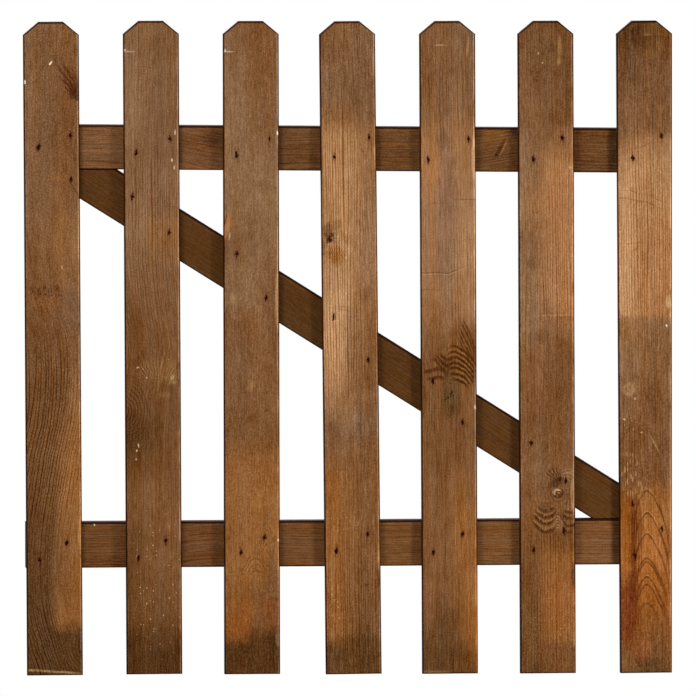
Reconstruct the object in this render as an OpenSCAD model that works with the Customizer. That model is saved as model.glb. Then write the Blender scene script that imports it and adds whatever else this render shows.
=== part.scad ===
// Garden gate leaf: upright pales with clipped tops, nailed through their faces
// to two rails and a diagonal brace behind them.
// Millimetres. X runs across the gate towards the hinge side, -Y is the front, +Z is up.
// The origin is on the back of the bottom rail, in the middle of the lower hinge seat.

/* [Pales] */
// Number of upright pales
pale_count = 7; // [5:1:9]
// Width of a pale
pale_w = 77; // [62:1:95]
// Thickness of a pale
pale_t = 18; // [14:1:24]
// Length of a pale, foot to top
pale_len = 906; // [740:1:1100]
// Open gap between two pales
pale_gap = 60; // [40:1:75]
// Width of the sawn clip on each top corner
clip_w = 21.5; // [12:0.5:28]
// Height of the sawn clip on each top corner
clip_h = 18; // [10:0.5:30]
// How much narrower the hinge-side pale is at its foot
foot_taper = 5.5; // [0:0.5:8]

/* [Rails] */
// Height of the top rail
top_rail_h = 61.5; // [50:0.5:80]
// Height of the bottom rail
bottom_rail_h = 63.5; // [50:0.5:80]
// Thickness of both rails
rail_t = 32; // [26:1:42]
// Distance from the pale tops down to the top rail
top_rail_drop = 146.5; // [90:0.5:180]
// Distance from the pale feet up to the bottom rail
bottom_rail_rise = 149; // [90:1:190]
// How far each rail end stops short of the outermost pale edge
rail_end_in = 4; // [0:0.5:6]
// Tilt of the top rail, in degrees, falling to the hinge side
top_rail_fall = 0.5; // [-0.6:0.05:0.6]
// Tilt of the bottom rail, in degrees, climbing to the hinge side
bottom_rail_climb = 0.15; // [-0.6:0.05:0.6]

/* [Brace] */
// Width of the brace, square to its length
brace_w = 61.5; // [50:0.5:75]
// Thickness of the brace
brace_t = 32; // [26:1:42]
// From the latch-side gate edge to where the brace meets the top rail
brace_head_in = 72; // [60:1:90]
// From the hinge-side gate edge to where the brace meets the bottom rail
brace_foot_in = 49.5; // [45:0.5:90]
// Saw-cut gap between each brace end and its rail
brace_joint = 0.2; // [0.1:0.1:1]

/* [Nails] */
// Diameter of a nail shank
shank_d = 2.8; // [2:0.1:4]
// Width of the oblong nail head
head_w = 3.2; // [2.5:0.1:5]
// Length of the oblong nail head, along the pale
head_l = 8; // [5:0.5:10]
// Thickness of a nail head
head_t = 1.5; // [1:0.1:2.5]
// Length of the tapered point
point_l = 4; // [2:0.5:6]
// Depth that the head is driven below the face of the pale
nail_sink = 2.5; // [1:0.5:5]
// Wood left behind a nail point
point_cover = 5; // [3:0.5:8]
// Clearance round a driven nail
nail_clear = 0.05; // [0.02:0.01:0.1]
// From a pale edge in to a nail
nail_side_in = 18; // [12:0.5:24]
// From a rail edge in to a nail
nail_rail_in = 20; // [14:0.5:24]
// Up or down from the brace's middle line to a nail
brace_nail_off = 13; // [6:0.5:18]

/* [Mounts] */
// From a rail end in to the middle of its hinge or latch seat
seat_in = 60; // [40:1:120]

/* [Hidden] */
// Setting out by hand: each list holds one round value for a pale, latch side first
pale_shift = [0, 1.5, 3, -0.5, 1.5, 1, 1];
pale_rise = [0, 1, 0.5, 0, 0, 0, 0];
pale_lean = [0.32, 0.29, 0.12, 0.6, 0.28, 0.26, 0.4];

// How far each pair of nails strayed: [across, up] for the latch-side nail, then the other
top_stray = [[[2, 11], [5, 6]], [[-1, 4], [5, 2]], [[0, 2], [5, 3]], [[1, 0], [8, 6]],
             [[-7, -3], [8, 5]], [[3, -1], [2, 7]], [[3, 1], [2, 11]]];
bottom_stray = [[[0, -8], [-3, -8]], [[-1, -6], [-4, -5]], [[5, 1], [-3, -2]], [[-2, 2], [0, 2]],
                [[-2, 0], [-3, 1]], [[1, 2], [2, 4]], [[0, -6], [-1, 7]]];
brace_stray = [[[0, 0], [6, -4]], [[-7, -1], [3, 7]], [[0, 10], [0, 1]], [[-3, 7], [4, 3]],
               [[-2, 3], [-2, -2]], [[-2, 3], [5, 7]], [[-3, 4], [0, 0]]];

// Whole gate, measured from the middle of its width and from the nominal pale feet
pitch = pale_w + pale_gap;
gate_w = pale_count * pale_w + (pale_count - 1) * pale_gap;
rail_len = gate_w - 2 * rail_end_in;
top_rail_mid = pale_len - top_rail_drop - top_rail_h / 2;
bottom_rail_mid = bottom_rail_rise + bottom_rail_h / 2;
top_slope = -tan(top_rail_fall);
bottom_slope = tan(bottom_rail_climb);

// Edges of the two rails that face the brace, and the brace's own middle line
function top_rail_z(x) = top_rail_mid + top_slope * x;
function bottom_rail_z(x) = bottom_rail_mid + bottom_slope * x;
function top_edge_z(x) = top_rail_z(x) - top_rail_h / 2 / cos(top_rail_fall);
function bottom_edge_z(x) = bottom_rail_z(x) + bottom_rail_h / 2 / cos(bottom_rail_climb);
head_x = -gate_w / 2 + brace_head_in;
foot_x = gate_w / 2 - brace_foot_in;
brace_slope = (bottom_edge_z(foot_x) - top_edge_z(head_x)) / (foot_x - head_x);
brace_half = brace_w / 2 * sqrt(1 + brace_slope * brace_slope);
function brace_z(x) = top_edge_z(head_x) + brace_slope * (x - head_x);

// Lower hinge seat, which carries the origin
seat_x = rail_len / 2 - seat_in;
seat_z = bottom_rail_z(seat_x);

// One value from a list, repeated where there are more pales than values
function nth(list, i) = list[i % len(list)];
function pale_x(i) = (i - (pale_count - 1) / 2) * pitch + nth(pale_shift, i);
function is_last(i) = i == pale_count - 1;

// Middle of a leaning pale at a height above its nominal foot
function pale_mid(i, z) = pale_x(i) + (pale_len - z) * tan(nth(pale_lean, i));

// Nail places, [x, z]. Side -1 is the latch side of a pale and 1 its hinge side:
// on a rail the latch-side nail is the lower one, and on the brace it is the upper one
nail_x = pale_w / 2 - nail_side_in;
function side(k) = 2 * k - 1;
function nail_across(i, k, z, stray) = pale_mid(i, z) + side(k) * nail_x + stray.x;
function top_nails(i) = [for (k = [0, 1])
    let (stray = nth(top_stray, i)[k], x = nail_across(i, k, top_rail_mid, stray))
    [x, top_rail_z(x) + side(k) * (top_rail_h / 2 - nail_rail_in) + stray.y]];
function bottom_nails(i) = [for (k = [0, 1])
    let (stray = nth(bottom_stray, i)[k], x = nail_across(i, k, bottom_rail_mid, stray))
    [x, bottom_rail_z(x) + side(k) * (bottom_rail_h / 2 - nail_rail_in) + stray.y]];
// The outermost pales cover only a corner of the brace, so each takes one nail there
function brace_nails(i) = [for (k = i == 0 ? [1] : is_last(i) ? [0] : [0, 1])
    let (stray = nth(brace_stray, i)[k], x = nail_across(i, k, brace_z(pale_x(i)), stray))
    [x, brace_z(x) - side(k) * brace_nail_off + stray.y]];

// Front face of the pales, the blunt tip of a nail point, and how far a hole's cut clears a face
front = -rail_t - pale_t;
tip_d = 0.4;
overcut = 1;
round_fn = 24;

// Moves a piece from the gate's middle and feet to the part's own frame
module in_frame() translate([-seat_x, 0, -seat_z]) children();

// Extrudes an outline drawn in X and Z from one depth to another
module upright(y0, y1)
    translate([0, y1, 0]) rotate([90, 0, 0]) linear_extrude(y1 - y0) children();

// One nail, or with a clearance the hole that it sits in, driven along +Y at [x, z]
module nail(at, seat_t, clear = 0) {
    head_y = front + nail_sink;
    point_y = front + pale_t + seat_t - point_cover;
    mouth_y = clear > 0 ? front - overcut : head_y;
    translate([at.x, 0, at.y]) {
        translate([-head_w / 2 - clear, mouth_y, -head_l / 2 - clear])
            cube([head_w + 2 * clear, head_y + head_t + clear - mouth_y, head_l + 2 * clear]);
        translate([0, head_y, 0]) rotate([-90, 0, 0]) {
            shank_l = point_y - head_y - point_l + clear;
            cylinder(d = shank_d + 2 * clear, h = shank_l, $fn = round_fn);
            translate([0, 0, shank_l])
                cylinder(d1 = shank_d + 2 * clear, d2 = tip_d + 2 * clear, h = point_l, $fn = round_fn);
        }
    }
}

module nails(list, seat_t, clear = 0)
    for (at = list) nail(at, seat_t, clear);

// Outline of a pale about its middle line, foot at zero
module pale_outline(taper)
    polygon([[-pale_w / 2, 0], [pale_w / 2 - taper, 0],
             [pale_w / 2, pale_len - clip_h], [pale_w / 2 - clip_w, pale_len],
             [-pale_w / 2 + clip_w, pale_len], [-pale_w / 2, pale_len - clip_h]]);

module pale(i)
    color("#8a6344") in_frame() difference() {
        translate([pale_x(i), 0, pale_len + nth(pale_rise, i)]) rotate([0, -nth(pale_lean, i), 0])
            translate([0, 0, -pale_len]) upright(front, -rail_t)
                pale_outline(is_last(i) ? foot_taper : 0);
        nails(top_nails(i), rail_t, nail_clear);
        nails(bottom_nails(i), rail_t, nail_clear);
        nails(brace_nails(i), brace_t, nail_clear);
    }

// A rail turned about the middle of its length by its tilt, positive where it falls to +X
module rail(mid_z, height, tilt)
    translate([0, 0, mid_z]) rotate([0, tilt, 0])
        translate([-rail_len / 2, -rail_t, -height / 2]) cube([rail_len, rail_t, height]);

module top_rail()
    color("#75502f") in_frame() difference() {
        rail(top_rail_mid, top_rail_h, top_rail_fall);
        for (i = [0:pale_count - 1]) nails(top_nails(i), rail_t, nail_clear);
    }

module bottom_rail()
    color("#75502f") in_frame() difference() {
        rail(bottom_rail_mid, bottom_rail_h, -bottom_rail_climb);
        for (i = [0:pale_count - 1]) nails(bottom_nails(i), rail_t, nail_clear);
    }

// The brace: a sloping board cut off along both rails and trimmed at their ends
module brace() {
    reach = gate_w;
    color("#5d3f24") in_frame() difference() {
        upright(-rail_t, -rail_t + brace_t) intersection() {
            polygon([for (p = [[-reach, 1], [reach, 1], [reach, -1], [-reach, -1]])
                [p.x, brace_z(p.x) + p.y * brace_half]]);
            polygon([for (p = [[-1, 1], [1, 1], [1, -1], [-1, -1]])
                let (x = p.x * rail_len / 2)
                [x, p.y > 0 ? top_edge_z(x) - brace_joint : bottom_edge_z(x) + brace_joint]]);
        }
        for (i = [0:pale_count - 1]) nails(brace_nails(i), brace_t, nail_clear);
    }
}

module top_rail_nails(i) color("#3b3029") in_frame() nails(top_nails(i), rail_t);
module bottom_rail_nails(i) color("#3b3029") in_frame() nails(bottom_nails(i), rail_t);
module brace_nails_at(i) color("#3b3029") in_frame() nails(brace_nails(i), brace_t);

for (i = [0:pale_count - 1]) {
    pale(i);
    top_rail_nails(i);
    bottom_rail_nails(i);
    brace_nails_at(i);
}
top_rail();
bottom_rail();
brace();
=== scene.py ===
import math
import bmesh
import bpy
import numpy as np
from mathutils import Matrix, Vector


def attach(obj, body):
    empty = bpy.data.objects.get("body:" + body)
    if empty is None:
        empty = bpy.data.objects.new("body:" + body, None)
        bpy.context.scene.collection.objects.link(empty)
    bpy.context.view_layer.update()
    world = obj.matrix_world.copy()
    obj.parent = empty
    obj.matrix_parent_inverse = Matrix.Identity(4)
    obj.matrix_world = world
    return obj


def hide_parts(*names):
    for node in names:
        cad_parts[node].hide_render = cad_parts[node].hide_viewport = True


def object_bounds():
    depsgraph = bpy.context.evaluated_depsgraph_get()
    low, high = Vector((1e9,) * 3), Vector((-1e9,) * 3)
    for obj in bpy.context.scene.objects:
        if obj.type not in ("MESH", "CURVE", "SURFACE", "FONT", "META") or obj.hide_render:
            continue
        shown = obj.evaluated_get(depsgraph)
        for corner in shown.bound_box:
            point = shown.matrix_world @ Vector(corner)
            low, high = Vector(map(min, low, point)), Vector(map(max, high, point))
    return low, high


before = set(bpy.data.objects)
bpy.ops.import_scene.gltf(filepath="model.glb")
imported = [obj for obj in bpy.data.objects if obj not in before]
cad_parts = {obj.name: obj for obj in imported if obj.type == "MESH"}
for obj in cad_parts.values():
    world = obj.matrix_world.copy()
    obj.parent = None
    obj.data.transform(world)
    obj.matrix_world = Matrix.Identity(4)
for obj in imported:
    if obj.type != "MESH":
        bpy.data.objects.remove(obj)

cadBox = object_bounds()
mm = 0.001  # every size below is in millimetres unless its note says otherwise
flush = 0.01  # points closer than this lie in one plane
print("frame loaded:", len(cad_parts), "nodes")


def srgb(code):
    parts = [int(code[k:k + 2], 16) / 255 for k in (1, 3, 5)]
    linear = [c / 12.92 if c <= 0.04045 else ((c + 0.055) / 1.055) ** 2.4 for c in parts]
    return (*linear, 1.0)


def addNode(tree, kind, inputs=(), out=0, stops=(), **settings):
    # adds a node, sets it up, links it and gives back one of its outputs; its mode may follow its kind
    kind, _, mode = kind.partition(" ")
    if mode:
        settings[{"Mix": "data_type", "MapRange": "interpolation_type"}.get(kind, "operation")] = mode
    node = tree.nodes.new("ShaderNode" + kind)
    for key, value in settings.items():
        setattr(node, key, value)
    for key, value in inputs.items() if isinstance(inputs, dict) else enumerate(inputs):
        if isinstance(value, bpy.types.NodeSocket):
            tree.links.new(value, node.inputs[key])
        else:
            node.inputs[key].default_value = value
    for k, (at, colour) in enumerate(stops):  # only a colour ramp has stops
        elements = node.color_ramp.elements
        if k == 0:
            elements.remove(elements[1])
            elements[0].position = at
        stop = elements.new(at) if k else elements[0]
        stop.color = colour
    return node.outputs[out] if node.outputs else None


def newMaterial(name):
    mat = bpy.data.materials.new(name)
    mat.use_nodes = True
    mat.node_tree.nodes.clear()
    return mat, mat.node_tree


def addObject(name, data):
    obj = bpy.data.objects.new(name, data)
    bpy.context.scene.collection.objects.link(obj)
    return obj


def smooth(low, high, value):
    t = np.clip((value - low) / (high - low), 0, 1)
    return t * t * (3 - 2 * t)


def drift(seed, u, v):
    # smooth random wander from 0 to 1, one random value at each whole step of u and v
    count = 64  # steps until it repeats
    table = np.random.default_rng(seed).random((count, count))
    iu, iv = np.floor(u).astype(int), np.floor(v).astype(int)
    fu, fv = smooth(0, 1, u - iu), smooth(0, 1, v - iv)
    rows = [table[iu % count, at % count] * (1 - fu) + table[(iu + 1) % count, at % count] * fu
            for at in (iv, iv + 1)]
    return rows[0] * (1 - fv) + rows[1] * fv


def hullOf(points):
    # corners of the convex outline, counter-clockwise, without those on a straight edge
    straight = 0.02  # a real corner takes up more than this, in square millimetres
    points = sorted(set(map(tuple, np.round(points, 4))))
    chains = []
    for run in (points, points[::-1]):
        chain = []
        for p in run:
            while len(chain) > 1:
                (ax, ay), (bx, by) = chain[-2], chain[-1]
                if (bx - ax) * (p[1] - by) - (by - ay) * (p[0] - bx) > straight:
                    break
                chain.pop()
            chain.append(p)
        chains += chain[:-1]
    return np.array(chains)


def cornersOf(node):
    return np.array([v.co[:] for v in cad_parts[node].data.vertices]) / mm


def boardFrame(node):
    # where a board lies, read from its CAD node: the way it runs, its outline and its two long edges
    corners = cornersOf(node)
    outline = hullOf(corners[:, [0, 2]])
    edges = np.roll(outline, -1, 0) - outline
    along = edges[np.argmax(np.linalg.norm(edges, axis=1))]
    along = along / np.linalg.norm(along)
    if along[np.argmax(np.abs(along))] < 0:
        along = -along
    across = np.array([along[1], -along[0]])
    if across.sum() < 0:
        across = -across
    plan = np.stack([outline @ across, outline @ along], 1)
    origin = np.array([(plan[:, 0].min() + plan[:, 0].max()) / 2, plan[:, 1].min()])
    plan -= origin
    sides = []  # each long edge as across = c0 + c1 * along
    for sign in (-1, 1):
        best = None
        for p, q in zip(plan, np.roll(plan, -1, 0)):
            run = abs(q[1] - p[1])
            if sign * (p[0] + q[0]) > 0 and (best is None or run > best[0]):
                slope = (q[0] - p[0]) / (q[1] - p[1])
                best = (run, p[0] - slope * p[1], slope)
        sides.append(best[1:])
    return {"along": along, "across": across, "origin": origin, "outline": plan, "sides": sides,
            "width": np.ptp(plan[:, 0]), "length": np.ptp(plan[:, 1]),
            "front": corners[:, 1].min(), "thick": np.ptp(corners[:, 1])}


def endAt(outline, a, top):
    # how far along the board one of its ends lies, at a place across it
    a = np.clip(a, outline[:, 0].min(), outline[:, 0].max())
    best = np.full(np.shape(a), -np.inf if top else np.inf)
    for p, q in zip(outline, np.roll(outline, -1, 0)):
        if abs(q[0] - p[0]) > flush:
            t = (a - p[0]) / (q[0] - p[0])
            at = p[1] + t * (q[1] - p[1])
            on = (t > -1e-6) & (t < 1 + 1e-6)
            best = np.where(on, np.maximum(best, at) if top else np.minimum(best, at), best)
    return best


def nailHeads(node):
    # middle of each nail head in X and Z, from its CAD node
    oneHead = 10  # heads that span more than this are two
    corners = cornersOf(node)
    heads = corners[corners[:, 1] < corners[:, 1].min() + flush][:, [0, 2]]
    cut = (heads[:, 0].min() + heads[:, 0].max()) / 2
    two = [heads[heads[:, 0] < cut], heads[heads[:, 0] > cut]]
    return [(h.min(0) + h.max(0)) / 2 for h in ([heads] if np.ptp(heads[:, 0]) < oneHead else two)]


build = {
    "acrossStep": 2.6, "alongStep": 4.5, "depthStep": 5.0,  # size of a mesh cell on a flat face
    "arris": 1.7, "arrisWander": 0.7,  # rounding of the long edges, and the share of it that comes and goes
    "arrisRun": 60, "endArris": 0.8,  # over what length it does, and rounding of the ends
    "arrisLines": (0.0, 0.29, 0.62, 1.0), "cornerInside": 3,  # mesh lines in roundings, at clipped corners
    "topRim": 0.62,  # the painted shade along the rim is wider along the tops
    "faceWander": 0.22, "faceCell": (22, 75),  # planed faces are never quite flat
    "pitDepth": 2.7, "pitHalfWidth": 2.25, "pitHalfLength": 4.8,  # where a nail was driven below the face
    "pitLean": 12, "pitSize": (0.85, 1.15),  # no two are alike: degrees, and share of the size
    "pitRagged": 1.3, "pitTear": (0.9, 1.4), "pitPoint": 0.9, "pitEdge": (0.75, 1.2),  # torn and pointed
    "pitReach": (5.5, 9.5), "pitCuts": 3,  # finer mesh round a nail
    "seepHalfWidth": 1.8, "seepHalfLength": 5.5, "seepPoint": 1.3,  # wood stained dark round a nail
    "endBlend": 50, "endSlant": 1.6,  # over this length, or share of its slant, a cut end joins even rows
}


def latticeLines(size, radius, step, extra=()):
    # mesh lines through one dimension: close together in the rounding, even between
    rounding = [share * radius for share in build["arrisLines"]]
    count = max(2, round((size - 2 * radius) / step) + 1)
    lines = list(np.linspace(radius, size - radius, count))
    for e in extra:
        lines[int(np.argmin(np.abs(np.array(lines) - e)))] = e
    return np.array(rounding[:-1] + sorted(lines) + [size - r for r in rounding[-2::-1]])


def boxLattice(xs, ys, zs):
    # the surface of a box as quads that share their points
    shell = np.ones((len(xs), len(ys), len(zs)), bool)
    shell[1:-1, 1:-1, 1:-1] = False
    index = np.full(shell.shape, -1)
    index[shell] = np.arange(shell.sum())
    grid = np.stack(np.meshgrid(xs, ys, zs, indexing="ij"), -1)
    quads = []
    for axis in range(3):
        for end in (0, -1):
            sheet = np.take(index, end, axis)
            cells = [sheet[:-1, :-1], sheet[1:, :-1], sheet[1:, 1:], sheet[:-1, 1:]]
            quads.append(np.stack(cells, -1).reshape(-1, 4))
    return grid[shell], np.concatenate(quads)


def toPlan(shape, a, q):
    # from the plain box to the board's true outline: its tapering sides and its cut ends
    outline, start, stop, blend = [shape[key] for key in ("outline", "start", "stop", "blend")]
    share = (a + shape["width"] / 2) / shape["width"]

    def acrossAt(s):
        low, high = [c0 + c1 * s for c0, c1 in shape["sides"]]
        return low + (high - low) * share

    s0 = endAt(outline, acrossAt(start), False)
    s1 = endAt(outline, acrossAt(stop), True)
    s = start + q + (s0 - start) * np.clip(1 - q / blend, 0, 1)
    s = s + (s1 - stop) * np.clip(1 - (stop - start - q) / blend, 0, 1)
    return acrossAt(s), s


def finer(bm, spots, reach, cuts):
    # splits the front face's mesh cells round each spot
    edges = set()
    for face in bm.faces:
        c = face.calc_center_median()
        if c.y < flush and any(abs(c.x - x) < reach[0] and abs(c.z - z) < reach[1] for x, z in spots):
            edges.update(face.edges)
    bmesh.ops.subdivide_edges(bm, edges=list(edges), cuts=cuts, use_grid_fill=True)


def cutBox(name, shape, size, heads):
    # the board as a finely cut box, finer still round the nails
    width, thick, run = size
    corners = [a + width / 2 for a, s in shape["outline"] if abs(a) < width / 2 - build["cornerInside"]]
    xs = latticeLines(width, build["arris"], build["acrossStep"], corners) - width / 2
    ys = latticeLines(thick, build["arris"], build["depthStep"])
    zs = latticeLines(run, build["endArris"], build["alongStep"])
    points, quads = boxLattice(xs, ys, zs)
    mesh = bpy.data.meshes.new(name)
    mesh.from_pydata(points.tolist(), [], quads.tolist())
    bm = bmesh.new()
    bm.from_mesh(mesh)
    finer(bm, heads, build["pitReach"], build["pitCuts"])
    bmesh.ops.recalc_face_normals(bm, faces=bm.faces)
    bm.to_mesh(mesh)
    bm.free()
    return mesh


def roundEdges(flat, size, seed):
    # edges whose rounding comes and goes along the board, and corners that stay crisp in outline
    width, thick, run = size
    a, d, q = flat.T
    edge = q / build["arrisRun"] + 17 * (a > 0) + 31 * (d > thick / 2)  # a wander of its own for each edge
    radius = build["arris"] * (1 - build["arrisWander"] * drift(seed, edge, d * 0))
    radii = np.stack([radius, radius, np.minimum(radius, build["endArris"])], 1)
    lows, highs = np.array([-width / 2, 0, 0]), np.array([width / 2, thick, run])
    inner = np.clip(flat, lows + radii, highs - radii)
    out = (flat - inner) / radii
    reach = np.hypot(np.maximum(np.abs(out[:, 0]), np.abs(out[:, 2])), out[:, 1])
    normal = out / np.maximum(reach, 1e-6)[:, None]
    return inner + normal * radii, normal


def nailMarks(a, q, heads, seed):
    # 0 to 1 in the torn slot over each nail, and where the wood round it is stained
    pit, seep = a * 0, a * 0
    for k, (ha, hq) in enumerate(heads):
        rng = np.random.default_rng(seed + 20 + k)
        lean, size = rng.uniform(*zip((-build["pitLean"], build["pitLean"]), build["pitSize"]))
        turn = np.exp(1j * math.radians(lean)) / size
        spot = np.conj(turn) * (a - ha + 1j * (q - hq))
        da, dq = np.abs(spot.real), np.abs(spot.imag)
        tear = drift(seed + 20 + k, a / build["pitTear"][0], q / build["pitTear"][1]) - 0.5
        far = (da / build["pitHalfWidth"]) ** build["pitPoint"]
        far += (dq / build["pitHalfLength"]) ** build["pitPoint"]
        pit = np.maximum(pit, 1 - smooth(*build["pitEdge"], far + build["pitRagged"] * tear))
        far = (da / build["seepHalfWidth"]) ** build["seepPoint"]
        far += (dq / build["seepHalfLength"]) ** build["seepPoint"]
        seep = np.maximum(seep, np.exp(-far))
    return pit, seep


def buildBoard(node, look, nailNodes):
    shape = boardFrame(node)
    seed = look["seed"]
    width, thick, outline = shape["width"], shape["thick"], shape["outline"]
    shape["start"] = float(endAt(outline, 0.0, False))
    shape["stop"] = float(endAt(outline, 0.0, True))
    run = shape["stop"] - shape["start"]
    spread = max(np.ptp(outline[outline[:, 1] < run / 2, 1]), np.ptp(outline[outline[:, 1] > run / 2, 1]))
    shape["blend"] = max(build["endBlend"], build["endSlant"] * spread)
    foot = shape["origin"] + (0, shape["start"])
    heads = [(head @ shape["across"] - foot[0], head @ shape["along"] - foot[1])
             for name in nailNodes for head in nailHeads(name)]
    mesh = cutBox(node + "_board", shape, (width, thick, run), heads)
    co = np.zeros(len(mesh.vertices) * 3)
    mesh.vertices.foreach_get("co", co)
    flat = co.reshape(-1, 3)
    a, d, q = flat.T  # across from the middle, down from the front face, along from the foot
    rim = (width / 2 - np.abs(a)) * np.where(a > 0, look["upperRim"], 1.0)
    endRim = np.minimum(q, build["topRim"] * (run - q))

    # hollows, all measured inwards from the sawn outline
    rounded, normal = roundEdges(flat, (width, thick, run), seed)
    cell = build["faceCell"]
    hollow = build["faceWander"] * drift(seed + 1, a / cell[0] + 50 * (d > 0), q / cell[1])
    hollow *= smooth(0.5, 1.0, np.abs(normal[:, 1]))
    pit, seep = nailMarks(a, q, heads, seed)
    pit *= (d < flush) & (normal[:, 1] < -0.9)  # on the front face only, and not on its rounding
    seep *= d < flush
    hollow = np.where(pit > 0, np.maximum(hollow * (1 - pit), build["pitDepth"] * pit), hollow)
    rounded[:, 1] -= normal[:, 1] * hollow

    a, d, q = rounded.T
    a, s = toPlan(shape, a, q)
    plan = (shape["origin"] + np.stack([a, s], 1)) @ np.stack([shape["across"], shape["along"]])
    world = np.stack([plan[:, 0], shape["front"] + d, plan[:, 1]], 1) * mm
    mesh.vertices.foreach_set("co", world.astype(np.float32).ravel())
    mesh.polygons.foreach_set("use_smooth", [True] * len(mesh.polygons))
    fields = {"rim": rim, "endRim": endRim, "pit": pit, "seep": seep,
              "sideFace": smooth(0.5, 0.95, np.abs(normal[:, 0])),
              "endFace": smooth(0.5, 0.95, np.abs(normal[:, 2]))}
    for name, values in fields.items():
        layer = mesh.attributes.new(name, "FLOAT", "POINT")
        layer.data.foreach_set("value", values.astype(np.float32))
    place = mesh.attributes.new("place", "FLOAT_VECTOR", "POINT")
    place.data.foreach_set("vector", np.stack([a, d, s], 1).astype(np.float32).ravel())
    mesh.update()

    board = addObject(node + "_board", mesh)
    mesh.materials.append(woodMaterial(look, shape["length"]))
    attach(board, "root")
    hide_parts(node)
    print(node, "made")


wood = {
    "tones": {  # brown preservative stain, from where it lies thick and dark to where it is worn thin
        "soot": "#563413", "bark": "#613d1b", "umber": "#6e451f", "walnut": "#754b27", "chestnut": "#7f542f",
        "hazel": "#815a39", "fawn": "#8c6644", "clay": "#916339", "tan": "#9a6d46", "honey": "#a97a4d",
        "straw": "#b8875a", "rust": "#905b2b", "amber": "#9a6534", "copper": "#a46f42", "sienna": "#92541e",
    },
    "patterns": {  # a cell across, through and along the grain, its detail, and how far it shifts the stain
        "band": ((15, 15, 300), 1, 0.088),  # boards take up stain in soft bands
        "strand": ((2.8, 2.8, 70), 2, 0.144),
        "fibre": ((1.4, 1.4, 14), 1, 0.22),  # single fibres are far finer; this coarse they still show
        "blot": ((22, 22, 34), 3, 0.096),
        "grit": ((1.4, 1.4, 2.0), 0, 0.18),  # open pores and raised specks, coarser than life too
        "drift": ((10, 10, 170), 1, (0.05, 0.0, -0.05)),  # warmer and cooler streaks, as red, green and blue
    },
    "fibreWander": 7.0, "bandWander": 20.0, "ringWander": 12.0,  # how far each pattern bends what it crosses
    "ringLine": 0.2, "spring": 0.25, "summer": -0.75,  # dark share of a growth ring, its pale and dark shift
    "rimShadeSpan": (2.0, 0.8), "paintedRimShade": 0.3,  # from the edges: a painted shade along the rim, which starts and is full here
    "highlightLine": 2.3, "highlightHalf": (1.1, 0.2),  # then a painted highlight line where the rounded edge catches the light
    "highlightPatchy": (-0.15, 0.1, 0.35, 1.0), "figurePatchy": (-0.2, 0.1, 0.55, 1.0),  # the painted highlight comes and goes, and the figures are worn more, in places
    "figure": {"wobble": 6.0, "stretch": 1.0, "first": 0.0, "rough": False},  # unless a board says otherwise
    "specks": {"size": 1.2, "cell": 4.5, "long": 1.25},
    "patchDeep": 14, "patchTorn": 1.6,  # patches go on down the board's side, but not round to its back
    "chipSize": 8, "chipSoft": 0.25, "chipTorn": 2.4,  # small soft ones are torn, as chips are
    "rayWander": 2.0, "rayEdge": (0.3, 0.1), "lineCore": 0.3, "pastLines": 8,  # how figures are drawn
    "leastTone": (0.19, 0.1, 0.04),  # the darkest grain keeps a warm brown
    "seepTone": "#5a1e08", "seepMix": 0.6, "seepShade": 0.06, "pitTone": "#3a0a04",  # rust round a nail
    "pitFull": (0.1, 0.6),  # how deep into a nail's pit its tone starts and is full, as a share
    "fibreHigh": 0.6, "summerHigh": 0.35, "gritHigh": 0.8, "bump": 0.35,  # raised grain: size, then shares
    "roughness": (0.72, 0.92), "roughSpan": (-0.2, 0.2),  # least and most, over this much of the fibres
    "specular": 0.08, "ior": 1.5, "gamma": 2.2,  # soaked in and weathered: hardly any gloss
}


def toneOf(name):
    return srgb(wood["tones"].get(name, name))


def within(tree, place, oval, noise):
    # 1 inside an oval of the board, 0 outside: middle, half sizes, softness, lean in degrees
    across, along, halfWidth, halfLength, soft, lean = [*oval, *(0.5, 0)[len(oval) - 4:]]
    near = addNode(tree, "Mapping", [place, (across, 0, along), (0, math.radians(lean), 0),
                                     (halfWidth, wood["patchDeep"], halfLength)], vector_type="TEXTURE")
    away = addNode(tree, "VectorMath LENGTH", [near], "Value")
    chip = max(halfWidth, halfLength) < wood["chipSize"] and soft > wood["chipSoft"]
    edge, wander = ("grit", wood["chipTorn"]) if chip else ("blot", wood["patchTorn"] * soft)
    away = addNode(tree, "Math MULTIPLY_ADD", [noise[edge], wander, away])
    return addNode(tree, "MapRange SMOOTHSTEP", [away, 1 + soft, 1 - soft])


def profileOf(tree, value, points, how="LINEAR"):
    # a number that follows pairs of where and how much
    points = sorted(points)
    (low, high), (least, most) = [(min(v), max(v)) for v in zip(*points)]
    at = addNode(tree, "MapRange", [value, low, high])
    levels = [((w - low) / (high - low), [(n - least) / (most - least)] * 3 + [1]) for w, n in points]
    level = addNode(tree, "ValToRGB", [at], stops=levels)
    level.node.color_ramp.interpolation = how
    return addNode(tree, "MapRange", {0: level, 3: least, 4: most})


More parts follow.
